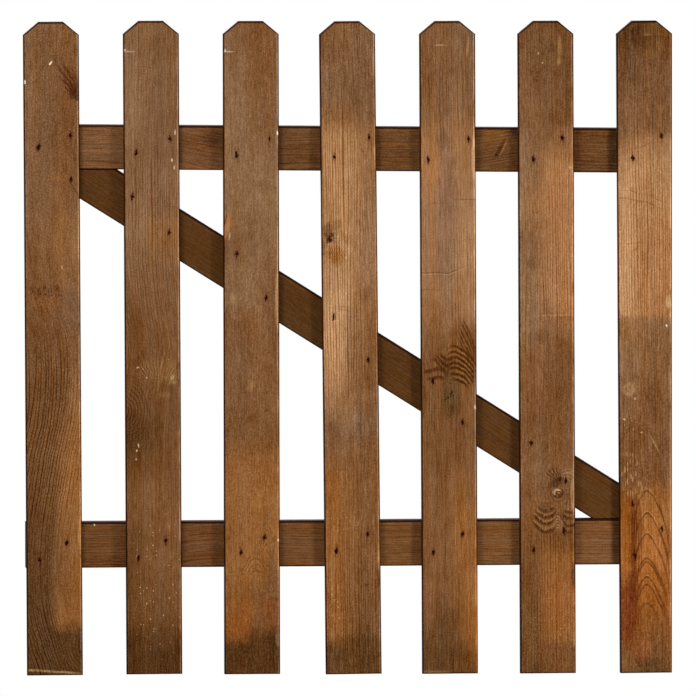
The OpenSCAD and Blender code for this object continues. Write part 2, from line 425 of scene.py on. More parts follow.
def figureMask(tree, figure, along, across, wander):
    # 1 on the lines of one figure of the grain: rings round a knot, rays from it, arches or tide lines
    if "at" in figure:  # the middle of the knot
        aside, up = [addNode(tree, "Math SUBTRACT", pair) for pair in zip((across, along), figure["at"])]
    if "rays" in figure:
        turn = addNode(tree, "Math ARCTAN2", [aside, up])
        turn = addNode(tree, "Math MULTIPLY", [turn, figure["rays"] / math.tau])
        turn = addNode(tree, "Math MULTIPLY_ADD", [wander, wood["rayWander"], turn])
        off = addNode(tree, "Math PINGPONG", [turn, 0.5])
        return addNode(tree, "MapRange SMOOTHSTEP", [off, *wood["rayEdge"]])
    if "rings" in figure:
        up = addNode(tree, "Math DIVIDE", [up, figure["stretch"]])
        spot = addNode(tree, "CombineXYZ", {0: aside, 2: up})
        away = addNode(tree, "VectorMath LENGTH", [spot], "Value")
        away = addNode(tree, "Math MULTIPLY_ADD", [wander, figure["wobble"], away])
        away = addNode(tree, "Math SUBTRACT", [away, figure["first"]])
        off = addNode(tree, "Math PINGPONG", [away, figure["rings"] / 2])
    else:
        height = addNode(tree, "Math MULTIPLY_ADD", [wander, figure["wobble"], along])
        shape = figure.get("shape", {}).items()
        if shape:
            fall = profileOf(tree, across, shape, "CARDINAL")
            height = addNode(tree, "Math ADD", [height, fall])
        lines = sorted(figure["lines"])
        past = wood["pastLines"]
        offs = [(lines[0] - past, past), (lines[-1] + past, past)] + [(at, 0) for at in lines]
        offs += [((low + high) / 2, (high - low) / 2) for low, high in zip(lines, lines[1:])]
        off = profileOf(tree, height, offs)  # how far the nearest line is
        if shape:  # as thick where it runs steep as where it lies level
            places, falls = zip(*shape)
            thin = [(a, 1 / math.hypot(1, g)) for a, g in zip(places, np.gradient(falls, places))]
            off = addNode(tree, "Math MULTIPLY", [off, profileOf(tree, across, thin)])
    return addNode(tree, "MapRange SMOOTHSTEP", [off, figure["line"], figure["line"] * wood["lineCore"]])


def speckMask(tree, specks, place, seed):
    # 1 on small dots, one in each cell of the share that has them
    cell = specks["cell"]
    cells = [1 / cell, 1 / cell, 1 / (cell * specks["long"])]
    spot = addNode(tree, "VectorMath MULTIPLY_ADD", [place, cells, [seed * 3.7] * 3])
    dots = addNode(tree, "TexVoronoi", {"Vector": spot, "Scale": 1.0}, "Distance")
    chance = addNode(tree, "SeparateColor", [dots.node.outputs["Color"]])
    picked = addNode(tree, "Math LESS_THAN", [chance, specks["share"]])
    size = specks["size"] / cell
    dot = addNode(tree, "MapRange", [dots, size, 0.5 * size])
    return addNode(tree, "Math MULTIPLY", [dot, picked])


def grainNoise(tree, grain, seed):
    # each pattern of the wood, from about -0.5 to 0.5, with a stretch of noise of its own for every board
    noise = {}
    for k, (name, (cell, detail, _)) in enumerate(wood["patterns"].items()):
        cells = [1 / c for c in cell]
        spot = addNode(tree, "VectorMath MULTIPLY_ADD", [grain, cells, [seed * 7.3 + 3.1 * k] * 3])
        value = addNode(tree, "TexNoise", {"Vector": spot, "Scale": 1.0, "Detail": detail}, "Fac")
        noise[name] = addNode(tree, "Math SUBTRACT", [value, 0.5])
    return noise


def stainTones(tree, look, at, noise):
    # tones up the left and the right of the board, with a wandering edge between them
    length = at["length"]
    wander = addNode(tree, "Math MULTIPLY_ADD", [noise["blot"], look["ragged"], at["along"]])
    wander = addNode(tree, "Math MULTIPLY_ADD", [noise["fibre"], wood["fibreWander"], wander])
    wander = addNode(tree, "Math DIVIDE", [wander, length])
    sides = [[(s / length, toneOf(t)) for s, t in look[side].items()] for side in ("left", "right")]
    left, right = [addNode(tree, "ValToRGB", [wander], stops=stops) for stops in sides]
    middle = profileOf(tree, at["along"], look.get("middle", {0: -1, length: 1}).items())
    aside = addNode(tree, "Math SUBTRACT", [at["across"], middle])
    aside = addNode(tree, "Math MULTIPLY_ADD", [noise["band"], wood["bandWander"], aside])
    share = addNode(tree, "MapRange SMOOTHSTEP", [aside, -look["blend"], look["blend"]])
    return addNode(tree, "Mix RGBA", {0: share, 6: left, 7: right}, 2)


def ownMarks(tree, look, at, noise, colour):
    # patches, figures and specks of this board alone, each inside its own oval
    rubbed = addNode(tree, "MapRange", [noise["strand"], *wood["figurePatchy"]])
    drawings = [(*patch, {}) for patch in look["patches"]] + look["figures"] + look["specks"]
    for *oval, tone, mix, drawing in drawings:
        amount = within(tree, at["place"], oval, noise)
        factors = [mix]
        if "share" in drawing:
            factors += [speckMask(tree, {**wood["specks"], **drawing}, at["place"], look["seed"])]
        elif drawing:
            figure = {**wood["figure"], **drawing}
            wander = noise["grit" if figure["rough"] else "blot"]
            factors += [figureMask(tree, figure, at["along"], at["across"], wander), rubbed]
        for factor in factors:
            amount = addNode(tree, "Math MULTIPLY", [amount, factor])
        colour = addNode(tree, "Mix RGBA", {0: amount, 6: colour, 7: toneOf(tone)}, 2)
    return colour


def growthRings(tree, look, at, noise):
    # fine lines up the board, and how strong they are: more so where this board shows them
    pith, spacing, strength = [look["rings"][key] for key in ("pith", "spacing", "strength")]
    spot = addNode(tree, "VectorMath MULTIPLY_ADD", [at["grain"], (1, 1, 0), (-pith[0], -pith[1], 0)])
    ring = addNode(tree, "VectorMath LENGTH", [spot], "Value")
    ring = addNode(tree, "Math MULTIPLY_ADD", [noise["band"], wood["ringWander"], ring])
    ring = addNode(tree, "Math PINGPONG", [ring, spacing / 2])
    summer = addNode(tree, "MapRange SMOOTHSTEP",
                     [ring, wood["ringLine"] * spacing, 0.0, wood["spring"], wood["summer"]])
    for *oval, more in look["strongRings"]:
        mask = within(tree, at["place"], oval, noise)
        strength = addNode(tree, "Math MULTIPLY_ADD", [mask, more, strength])
    return summer, strength


def edgeShades(tree, look, at, noise):
    # painted shade in a dark rim along each edge and on the sides and ends, which also take up more stain,
    # and a painted highlight line inside the rim, as pairs of where and how much
    rim, endRim, sideFace, endFace = [addNode(tree, "Attribute", out="Fac", attribute_name=name)
                                      for name in ("rim", "endRim", "sideFace", "endFace")]
    nearest = addNode(tree, "Math MINIMUM", [rim, endRim])
    dark = addNode(tree, "MapRange", [nearest, *wood["rimShadeSpan"], 0.0, -wood["paintedRimShade"]])
    # a painted highlight line inside the rim, mostly along the right edge
    off = addNode(tree, "Math SUBTRACT", [rim, wood["highlightLine"]])
    off = addNode(tree, "Math ABSOLUTE", [off])
    line = addNode(tree, "MapRange", [off, *wood["highlightHalf"]])
    side = addNode(tree, "MapRange", [at["across"], -1.0, 1.0, *look["edgeHighlight"]])
    patchy = addNode(tree, "MapRange", [noise["blot"], *wood["highlightPatchy"]])
    edgeHighlight = addNode(tree, "Math MULTIPLY", [line, side])
    return [(dark, 1.0), (edgeHighlight, patchy), (sideFace, -look["sideShade"]), (endFace, -look["endShade"])]


def woodMaterial(look, length):
    # pressure-treated softwood, planed or sawn and brown-stained: matt and soft to the light, with fine
    # straight grain, thin stain worn pale in places and darker summer wood round the knots
    mat, tree = newMaterial(look["material"])
    place = addNode(tree, "Attribute", out="Vector", attribute_name="place")
    pit, seep = [addNode(tree, "Attribute", out="Fac", attribute_name=name) for name in ("pit", "seep")]
    across, depth, along = addNode(tree, "SeparateXYZ", [place]).node.outputs
    # the grain runs straight up the board unless the board's own flow bends it
    bend = look.get("flow", {0: 0, length / 2: 3, length: 0})
    flow = profileOf(tree, along, bend.items(), "CARDINAL")
    straight = addNode(tree, "Math SUBTRACT", [across, flow])
    grain = addNode(tree, "CombineXYZ", [straight, depth, along])
    noise = grainNoise(tree, grain, look["seed"])
    at = {"place": place, "across": across, "along": along, "grain": grain, "length": length}

    colour = stainTones(tree, look, at, noise)
    colour = ownMarks(tree, look, at, noise, colour)
    stained = addNode(tree, "Math MULTIPLY", [seep, wood["seepMix"]])
    colour = addNode(tree, "Mix RGBA", {0: stained, 6: colour, 7: srgb(wood["seepTone"])}, 2)

    # all of these make the stain lighter or darker, the painted shade and highlight along the edges too
    summer, strength = growthRings(tree, look, at, noise)
    shades = [(summer, strength), *edgeShades(tree, look, at, noise), (seep, -wood["seepShade"])]
    for name in ("band", "strand", "fibre", "blot", "grit"):
        most = wood["patterns"][name][2] * look["grain"] * look["weights"].get(name, 1)
        shades.append((noise[name], most))
    shade = 0.0
    for pattern, most in shades:
        shade = addNode(tree, "Math MULTIPLY_ADD", [pattern, most, shade])
    # grain shifts every channel alike, so the shift is made on the colour as it looks, not as it is linear
    shift = addNode(tree, "CombineXYZ", [shade] * 3)
    shift = addNode(tree, "VectorMath MULTIPLY_ADD", [noise["drift"], wood["patterns"]["drift"][2], shift])
    colour = addNode(tree, "Gamma", [colour, 1 / wood["gamma"]])
    colour = addNode(tree, "VectorMath ADD", [colour, shift])
    colour = addNode(tree, "VectorMath MAXIMUM", [colour, wood["leastTone"]])
    colour = addNode(tree, "Gamma", [colour, wood["gamma"]])
    sunk = addNode(tree, "MapRange", [pit, *wood["pitFull"]])
    colour = addNode(tree, "Mix RGBA", {0: sunk, 6: colour, 7: srgb(wood["pitTone"])}, 2)

    relief = noise["fibre"]
    for pattern, high in ((summer, wood["summerHigh"]), (noise["grit"], wood["gritHigh"])):
        relief = addNode(tree, "Math MULTIPLY_ADD", [pattern, high, relief])
    bumped = addNode(tree, "Bump", {"Height": relief, "Strength": wood["bump"],
                                    "Distance": wood["fibreHigh"] * mm}, "Normal")
    rough = addNode(tree, "MapRange", [noise["fibre"], *wood["roughSpan"], *wood["roughness"]])
    skin = addNode(tree, "BsdfPrincipled", {"Base Color": colour, "Roughness": rough, "Normal": bumped,
                                            "IOR": wood["ior"], "Specular IOR Level": wood["specular"]})
    addNode(tree, "OutputMaterial", {"Surface": skin})
    return mat


# Each pale has the stain's tones up its left and right side and the line where those two meet. Then come
# patches, figures of the grain and specks, which all start with an oval: its middle across and up, its half
# sizes and, where they matter, its softness and its lean in degrees. Its tone and how much of it come next.
# Across is from the pale's middle and up is from its foot.
paleBase = {
    "slot": "pale_wood", "rings": {"pith": (-130, 60), "spacing": 3.3, "strength": 0.04}, "grain": 1.0,
    "edgeHighlight": (0.03, 0.24),  # painted highlight lines along the left and the right edge, stronger on the right
    "sideShade": 0.32, "endShade": 0.48,  # rough sides and cut ends take up more stain, and painted shade darkens them further
    "ragged": 22.0, "blend": 16.0,  # how far the stain's edges wander, how softly its two sides meet
    "upperRim": 1.0,  # below 1 the painted shade along the rim is wider along the right edge, which is a rail's upper one
    "weights": {}, "strongRings": [], "patches": [], "figures": [], "specks": [],
}


def makePale(k, look):
    nails = [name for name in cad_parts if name.endswith("_nails_%d" % k)]
    own = {"seed": 10 + k, "material": "planedStainedPinePale%d" % k}
    buildBoard("pale_%d" % k, {**paleBase, **own, **look}, nails)


pale1 = {
    "left": {70: "soot", 105: "bark", 200: "bark", 250: "umber", 420: "umber", 480: "walnut",
        560: "chestnut", 640: "hazel"},
    "right": {58: "soot", 76: "rust", 150: "rust", 200: "amber", 260: "amber", 320: "rust", 390: "clay",
        430: "chestnut", 520: "chestnut", 600: "clay", 650: "chestnut", 690: "chestnut", 745: "walnut",
        800: "chestnut"},
    "middle": {0: 0, 70: 2, 120: 8, 200: 10, 300: 12, 400: 20, 520: 0, 906: 0},
    "flow": {0: 26, 30: 17, 60: 8, 100: -1, 140: -3, 180: -2, 220: 2, 250: 7, 280: 12, 310: 17, 340: 24,
        370: 29, 400: 32, 440: 33, 480: 29, 520: 20, 600: 12, 906: 14},
    "weights": {"strand": 0.45, "fibre": 0.8, "grit": 1.35},  # of each pattern of the grain
    "rings": {"pith": (-130, 60), "spacing": 3.6, "strength": 0.02},
    "strongRings": [(-4, 370, 40, 90, 0.15), (-4, 280, 40, 60, 0.14), (-16, 45, 22, 60, 0.16),
        (-15, 190, 24, 60, 0.08)],
    "patches": [
        (24, 510, 14, 30, "#846248", 0.5), (24, 170, 14, 60, "#9a6a40", 0.3),
        (-24, 180, 14, 60, "#6e4020", 0.4), (36, 48, 3, 20, "#46260e", 0.7),
        (35.5, 196, 2.6, 22, 0.4, "#c08a54", 0.7), (-6, 900, 16, 5, "#8a6448", 0.6),
        (27, 826, 11, 32, 0.5, -28, "#663a18", 0.65), (35, 808, 9, 10, 0.5, -20, "#4c2108", 0.85),
        (36, 800, 3, 4, 0.4, "#260d03", 0.8), (34, 866, 2, 10, 0.4, "bark", 0.5),
        (-1, 849, 1.3, 3.4, 0.2, 35, "#f0e0ca", 1), (-37.5, 823, 2, 2.8, 0.2, "#eadaca", 1),
        (-10, 533, 26, 8, "walnut", 0.35), (-10, 517, 16, 9, "rust", 0.45), (19, 631, 7, 8, "amber", 0.4),
        (4, 690, 14, 3, 0.8, "amber", 0.4), (33, 671, 1, 14, 0.4, -31, "#4a2812", 0.6),
        (13, 566, 0.9, 2.6, 0.3, "#c2a27c", 0.8), (-38, 160, 4, 60, "bark", 0.4),
    ],
    "figures": [
        (22, 828, 11, 32, 0.5, -30, "#421d06", 0.85, {"rays": 36, "at": (40, 796)}),
        (31, 32, 14, 34, "#7a5a38", 0.35, {"rings": 4.6, "at": (58, 42), "line": 1.6, "wobble": 3}),
        (-8, 5, 40, 8, 0.3, "#b08a58", 0.85, {"lines": (5.2,), "line": 2.1, "wobble": 3,
            "shape": {-40: -2.5, 0: 0, 20: 1.5, 40: 4}}),
    ],
    "specks": [
        (-12, 532, 30, 9, "#4e1f08", 0.75, {"share": 0.9, "size": 2, "cell": 4}),
        (0, 780, 34, 90, "#5a3720", 0.6, {"share": 0.22}),
        (24, 270, 12, 50, "#c29a6c", 0.7, {"share": 0.3, "size": 1.1}),
    ],
}
makePale(1, pale1)

pale2 = {
    "left": {45: "soot", 80: "umber", 200: "umber", 245: "chestnut", 285: "umber", 335: "bark",
        385: "walnut", 480: "walnut", 560: "hazel", 610: "fawn", 690: "hazel", 780: "fawn", 906: "hazel"},
    "right": {35: "soot", 75: "walnut", 130: "chestnut", 240: "chestnut", 330: "walnut", 395: "walnut",
        415: "clay", 440: "chestnut", 560: "hazel", 610: "clay", 650: "hazel", 690: "fawn", 720: "hazel"},
    "middle": {0: 0, 60: -8, 240: -12, 330: 4, 380: 14, 450: 6, 600: -6, 750: -6, 906: -8},
    "flow": {0: 0, 300: 0, 380: 2, 440: 9, 500: 3, 580: -4, 660: -4, 906: 0},
    "strongRings": [(6, 560, 30, 90, 0.06), (-6, 660, 30, 50, 0.1)],
    "patches": [
        (36, 417, 2.8, 18, 0.3, "#40240a", 0.8), (-30, 864, 7, 0.8, "#cbb295", 0.6),
        (-36.5, 866, 0.9, 1.8, 0.3, "#ecdcc8", 0.9), (32.5, 752, 0.8, 3, 0.3, "#e9d4b4", 0.8),
        (28, 713, 1.2, 2, 0.3, "#e2cba9", 0.9), (31, 703, 0.9, 2.8, 0.3, "#e0c8a4", 0.8),
        (-18, 722, 12, 7, "walnut", 0.35), (27, 412, 2.4, 3.6, 0.3, 20, "#d8b080", 0.75),
        (29, 405, 3.6, 2.2, 0.4, "#b8895c", 0.6), (-21, 426, 2, 1.2, 0.3, "#dcb688", 0.8),
        (-14, 424, 1.2, 1, 0.3, "#cfa678", 0.7), (-9, 412, 1.1, 1.1, 0.3, "#e4c49c", 0.9),
        (12, 424, 24, 16, "clay", 0.35), (17, 388, 7, 4, "#9c7048", 0.45),
        (-30, 463, 14, 9, 0.5, 20, "umber", 0.45), (-22, 312, 18, 14, "bark", 0.4),
        (-22, 299, 6, 8, "#55331a", 0.4), (-21, 318, 0.9, 2.4, 0.3, -10, "#ecd6b4", 0.9),
        (-23, 311, 0.8, 1.8, 0.3, 10, "#e4caa4", 0.9), (-24, 299, 1, 1.8, 0.3, "#c9a67a", 0.7),
        (20, 340, 10, 22, "hazel", 0.35),
    ],
    "figures": [
        (-24, 366, 20, 34, "#4c280c", 0.75, {"rings": 4.6, "at": (-44, 366), "line": 1.6, "stretch": 1.2}),
        (-20, 326, 22, 18, "#55300f", 0.6, {"rings": 4.6, "at": (-26, 322), "line": 1.6, "wobble": 8,
            "stretch": 0.7}),
        (2, 424, 32, 26, "#5a3412", 0.6, {"rays": 64, "at": (6, 392)}),
        (8, 420, 26, 24, "#b08554", 0.4, {"rays": 57, "at": (8, 390)}),
    ],
    "specks": [
        (6, 130, 32, 95, "#d8b88e", 0.8, {"share": 0.3, "size": 1.05}),
        (6, 420, 30, 30, "#b98f62", 0.7, {"share": 0.35, "size": 1.1}),
        (0, 640, 30, 150, "#5a3720", 0.6, {"share": 0.3, "size": 1.1}),
    ],
}
makePale(2, pale2)

pale3 = {
    "weights": {"strand": 0.75, "fibre": 0.9, "grit": 1},  # of each pattern of the grain
    "rings": {"pith": (-130, 60), "spacing": 3.6, "strength": 0.02},
    "left": {38: "soot", 62: "sienna", 110: "rust", 160: "amber", 200: "rust", 240: "amber", 290: "rust",
        330: "chestnut", 440: "hazel", 490: "chestnut", 515: "fawn", 560: "fawn", 600: "hazel", 640: "fawn",
        800: "fawn", 880: "hazel"},
    "right": {48: "soot", 66: "walnut", 110: "chestnut", 150: "amber", 240: "amber", 290: "rust",
        330: "chestnut", 440: "chestnut", 560: "hazel", 640: "fawn", 700: "fawn", 770: "hazel",
        830: "chestnut"},
    "middle": {0: 0, 60: -6, 90: 4, 300: 10, 700: 6, 906: -8},
    "patches": [
        (0, 180, 12, 50, "#a4703f", 0.35), (26, 90, 12, 24, "#8e4e20", 0.5),
        (35.5, 520, 2.6, 36, 0.4, "#b08a62", 0.8), (36.5, 134, 2.6, 14, "#5a3418", 0.5),
        (-31, 864, 8, 0.8, "#cdb59a", 0.7), (-36, 866, 1, 2, "#e6d4be", 0.85),
        (36, 751, 0.9, 2.8, "#f2e6d4", 0.95), (-34, 620, 3.8, 19, 0.35, 14, "#b87a48", 0.8),
        (-30.5, 608, 1, 5, 0.4, 8, "#dcae7c", 0.8), (-35.5, 632, 0.8, 9, 0.4, 14, "#5a3118", 0.6),
        (-25, 521, 6, 9, "#a27c50", 0.5), (-1, 402, 5, 8, "honey", 0.45),
        (20, 366, 1.6, 1.4, "#4a2512", 0.8), (21, 391, 1.2, 1.8, "#54301a", 0.6),
        (22, 218, 2.4, 15, 0.5, 18, "#7c583c", 0.5), (30, 138, 12, 26, "chestnut", 0.5),
        (10, 118, 16, 12, "walnut", 0.3), (-6, 66, 3, 10, "#8f4a1c", 0.45), (36, 48, 3.4, 8, "#9a7a56", 0.6),
        (36, 186, 1, 1.6, "#f0dcb8", 0.8),
    ],
    "figures": [
        (22, 106, 15, 13, "#643210", 0.5, {"rings": 8, "at": (28, 84), "line": 1.8, "stretch": 1.2,
            "first": 10, "wobble": 3}),
        (20, 176, 13, 34, 0.3, "#6e4420", 0.55, {"lines": (172, 181, 190, 200, 211), "line": 1.5,
            "wobble": 4, "shape": {8: 34, 14: 14, 20: 0, 26: 14, 32: 34}}),
        (2, 150, 20, 16, 0.3, "#6e4018", 0.6, {"lines": (138, 146, 154, 162), "line": 1.6,
            "shape": {-14: 16, -4: 0, 4: -6, 12: -2, 20: 12}}),
        (4, 391, 20, 5, "#5f3a20", 0.5, {"lines": (391,), "line": 1.4, "wobble": 5}),
    ],
    "specks": [
        (-4, 240, 34, 60, "#cc9a62", 0.65, {"share": 0.3, "size": 0.95}),
        (-34, 130, 5, 60, "#c99a62", 0.7, {"share": 0.6, "size": 1.1}),
        (0, 430, 34, 100, "#5f3a24", 0.55, {"share": 0.3}),
    ],
}
makePale(3, pale3)

pale4 = {
    "left": {34: "bark", 56: "rust", 270: "rust", 320: "hazel", 350: "fawn", 385: "tan", 440: "straw",
        520: "straw", 570: "honey", 745: "honey", 770: "clay", 800: "hazel", 830: "hazel", 906: "chestnut"},
    "right": {45: "bark", 70: "walnut", 160: "chestnut", 300: "chestnut", 350: "hazel", 405: "chestnut",
        480: "#855a34", 520: "clay", 550: "tan", 640: "tan", 700: "clay", 745: "clay", 775: "hazel"},
    "middle": {0: -12, 160: -8, 200: 2, 380: -2, 430: -8, 520: 0, 640: 8, 700: 14, 760: 12, 906: 0},
    "ragged": 14,
    "strongRings": [(-12, 650, 30, 110, 0.22), (-12, 480, 28, 70, 0.22), (0, 110, 34, 80, 0.08)],
    "patches": [
        (36, 138, 2.6, 16, 0.3, "#4a2a0e", 0.7), (-6, 591, 8, 8, "#c2946a", 0.55),
        (26, 570, 14, 60, "#936f52", 0.4), (-19, 624, 10, 7, 0.5, -15, "#80541a", 0.65),
        (-37, 592, 3, 10, "#6e4424", 0.6), (-30, 616, 7, 9, "#6c3e26", 0.7),
        (-8, 607, 2.6, 10, 0.5, -24, "#84501f", 0.5), (-26.5, 606.5, 6.4, 7.6, "#6a4018", 0.7),
        (-27.6, 603.6, 3.8, 3.4, 0.25, 20, "#340f02", 1),
        (-25.4, 609.6, 3.8, 3.8, 0.25, -20, "#3e1806", 0.95),
        (-30.6, 600.2, 2.2, 2.4, 0.25, 30, "#54300f", 0.7), (-27.4, 611, 1.5, 1.1, 0.3, "#a8764a", 0.75),
        (-24.4, 606.4, 1.2, 1.6, 0.3, "#9a683e", 0.7), (-19, 581, 12, 12, 0.6, -20, "#a0651f", 0.75),
        (-5, 578.5, 1.3, 2, 0.3, "#d8b084", 0.7), (10, 345, 22, 20, "#7a5a44", 0.35),
        (22, 325, 12, 12, "walnut", 0.4), (18, 416, 14, 14, "walnut", 0.45),
        (-30, 335, 10, 14, "walnut", 0.4), (22, 527, 8, 9, "#70492c", 0.3),
        (-8, 780, 26, 14, "walnut", 0.25), (18, 124, 2.6, 1.2, "#4c2914", 0.8),
        (38, 165, 3.2, 24, "#b5894f", 0.55), (-28, 566, 4, 14, "straw", 0.4),
    ],
    "figures": [
        (-20, 582, 12, 12, 0.5, -20, "#6e3206", 0.85, {"rays": 130, "at": (-46, 536)}),
        (0, 507, 30, 12, "#7d5530", 0.5, {"lines": (505, 509), "line": 1.5,
            "shape": {-40: -7, 0: 0, 30: 6}}),
    ],
    "specks": [
        (-24, 92, 12, 34, "#d8a86c", 0.8, {"share": 0.4, "size": 1.05}),
        (-20, 215, 14, 22, "#cc9c68", 0.7, {"share": 0.35, "size": 1.05}),
        (24, 590, 14, 150, "#6a4630", 0.55, {"share": 0.35}),
        (-6, 460, 34, 50, "#7c4e26", 0.6, {"share": 0.3, "size": 1.3}),
        (0, 350, 34, 40, "#5f3a24", 0.5, {"share": 0.3, "size": 1.4}),
    ],
}
makePale(4, pale4)

# how far the lines beside the knot fall from their crown, at places across the pale
swirl = {-6: 7, 0: 2, 5: 0.4, 9: 0, 16: 3.6, 24: 9, 31: 17, 35: 23, 40: 34}
# how far a fine crack climbs and falls on its way across the pale
crack = {-44: 1, 0: 1, 12: -3, 24: -9, 44: -12}
pale5 = {
    "left": {30: "bark", 75: "walnut", 120: "chestnut", 230: "chestnut", 290: "walnut", 335: "umber",
        370: "walnut", 430: "walnut", 470: "chestnut", 510: "clay", 545: "tan", 640: "tan", 700: "copper",
        745: "clay", 775: "chestnut", 830: "walnut", 906: "chestnut"},
    "right": {24: "umber", 60: "rust", 110: "amber", 200: "rust", 290: "chestnut", 340: "walnut",
        385: "chestnut", 430: "umber", 470: "chestnut", 500: "tan", 550: "tan", 610: "honey", 640: "tan",
        700: "tan", 740: "clay", 790: "hazel"},
    "middle": {0: 12, 120: 12, 300: 0, 906: 0},
    "ragged": 16,
    "strongRings": [(20, 555, 18, 60, 0.1), (0, 800, 34, 60, 0.06)],
    "patches": [
        (22, 610, 16, 50, "#a8805e", 0.4), (-26, 90, 12, 26, "#8c5c38", 0.4),
        (35.5, 716, 2.6, 28, 0.4, "#c79a70", 0.8), (36, 884, 4, 8, "#553a20", 0.5),
        (-2, 622, 13, 120, "#84614a", 0.7), (-8, 50, 22, 50, "bark", 0.5),
        (18, 440, 24, 36, 0.5, -10, "#80521f", 0.5), (0, 420, 9, 18, "#54300e", 0.6),
        (3, 384, 12, 28, "#573b19", 0.8), (3, 389, 2.4, 5, 0.4, 20, "#2e1c0a", 0.8),
        (-3, 383, 3.4, 1.8, 0.4, -20, "#38240c", 0.7), (3, 370, 3, 3.4, 0.6, "#44300f", 0.5),
        (36, 370, 1.2, 2.6, 0.3, "#c3a687", 0.8), (-10, 873, 7, 1, 0.6, "#b3906c", 0.7),
        (28, 870, 1.4, 14, 0.5, 8, "#a98156", 0.6), (24, 880, 3, 8, "#5d4022", 0.4),
        (-8, 742, 8, 14, "#6d4d30", 0.5), (-36, 740, 4, 16, "#a4643c", 0.5),
        (-25, 460, 20, 12, "walnut", 0.3), (24, 340, 12, 12, "#6f4a2b", 0.4),
        (36, 450, 1.6, 44, 0.4, "#6a2a18", 0.5), (32, 60, 5, 46, "sienna", 0.5),
        (36, 22, 2, 6, "#6c2f10", 0.6), (-24, 2, 22, 3, "#8c6a42", 0.5),
    ],
    "figures": [
        (20, 431, 22, 33, 0.2, -8, "#421a00", 1, {"lines": (409, 417, 425.5, 431.5, 439, 447, 455),
            "line": 2.6, "wobble": 7, "shape": swirl}),
        (18, 432, 20, 30, 0.2, -8, "#a06c34", 0.35, {"lines": (413, 421.5, 428.7, 435.5, 443, 451),
            "line": 1.5, "wobble": 7, "shape": swirl}),
        (27, 466, 12, 34, 0.3, 6, "#4e2804", 0.9, {"lines": (461, 469, 478, 490, 499), "line": 1.8,
            "shape": {8: -12, 16: 0, 22: 12.6, 27: 22, 31.5: 34, 37: 50}}),
        (-17, 418, 17, 12, 0.25, -4, "#4c2302", 1, {"lines": (412.5, 423.5), "line": 3.8,
            "shape": {-36: 5, -24: 2.5, -16: 0, -10: 1.5, -6: 4, -2: 9}}),
        (-8, 432, 14, 14, 0.3, "#4a2404", 1, {"lines": (419, 427, 436), "line": 2.8,
            "shape": {-20: -18, -11: -6.2, -4: -0.7, 1: 0, 6: 1}}),
        (-10, 558, 36, 16, 0.3, "#5e3c24", 0.65, {"lines": (558,), "line": 1.3, "wobble": 7,
            "shape": crack}),
        (-10, 557, 36, 16, 0.3, "#bd9468", 0.5, {"lines": (556.4,), "line": 1.2, "wobble": 7,
            "shape": crack}),
        (24, 659, 15, 6, 0.3, "#68401f", 0.7, {"lines": (659,), "line": 1.3, "wobble": 8}),
        (-14, 654, 14, 6, 0.3, "#6b4830", 0.5, {"lines": (654,), "line": 1.3, "wobble": 8}),
        (-26, 534, 17, 6, 0.3, "#6b4428", 0.5, {"lines": (534,), "line": 1.3}),
    ],
    "specks": [
        (-22, 470, 22, 30, "#5c3619", 0.6, {"share": 0.4, "size": 1.4}),
        (30, 620, 10, 60, "#7a4e2c", 0.6, {"share": 0.3}),
    ],
}
makePale(5, pale5)

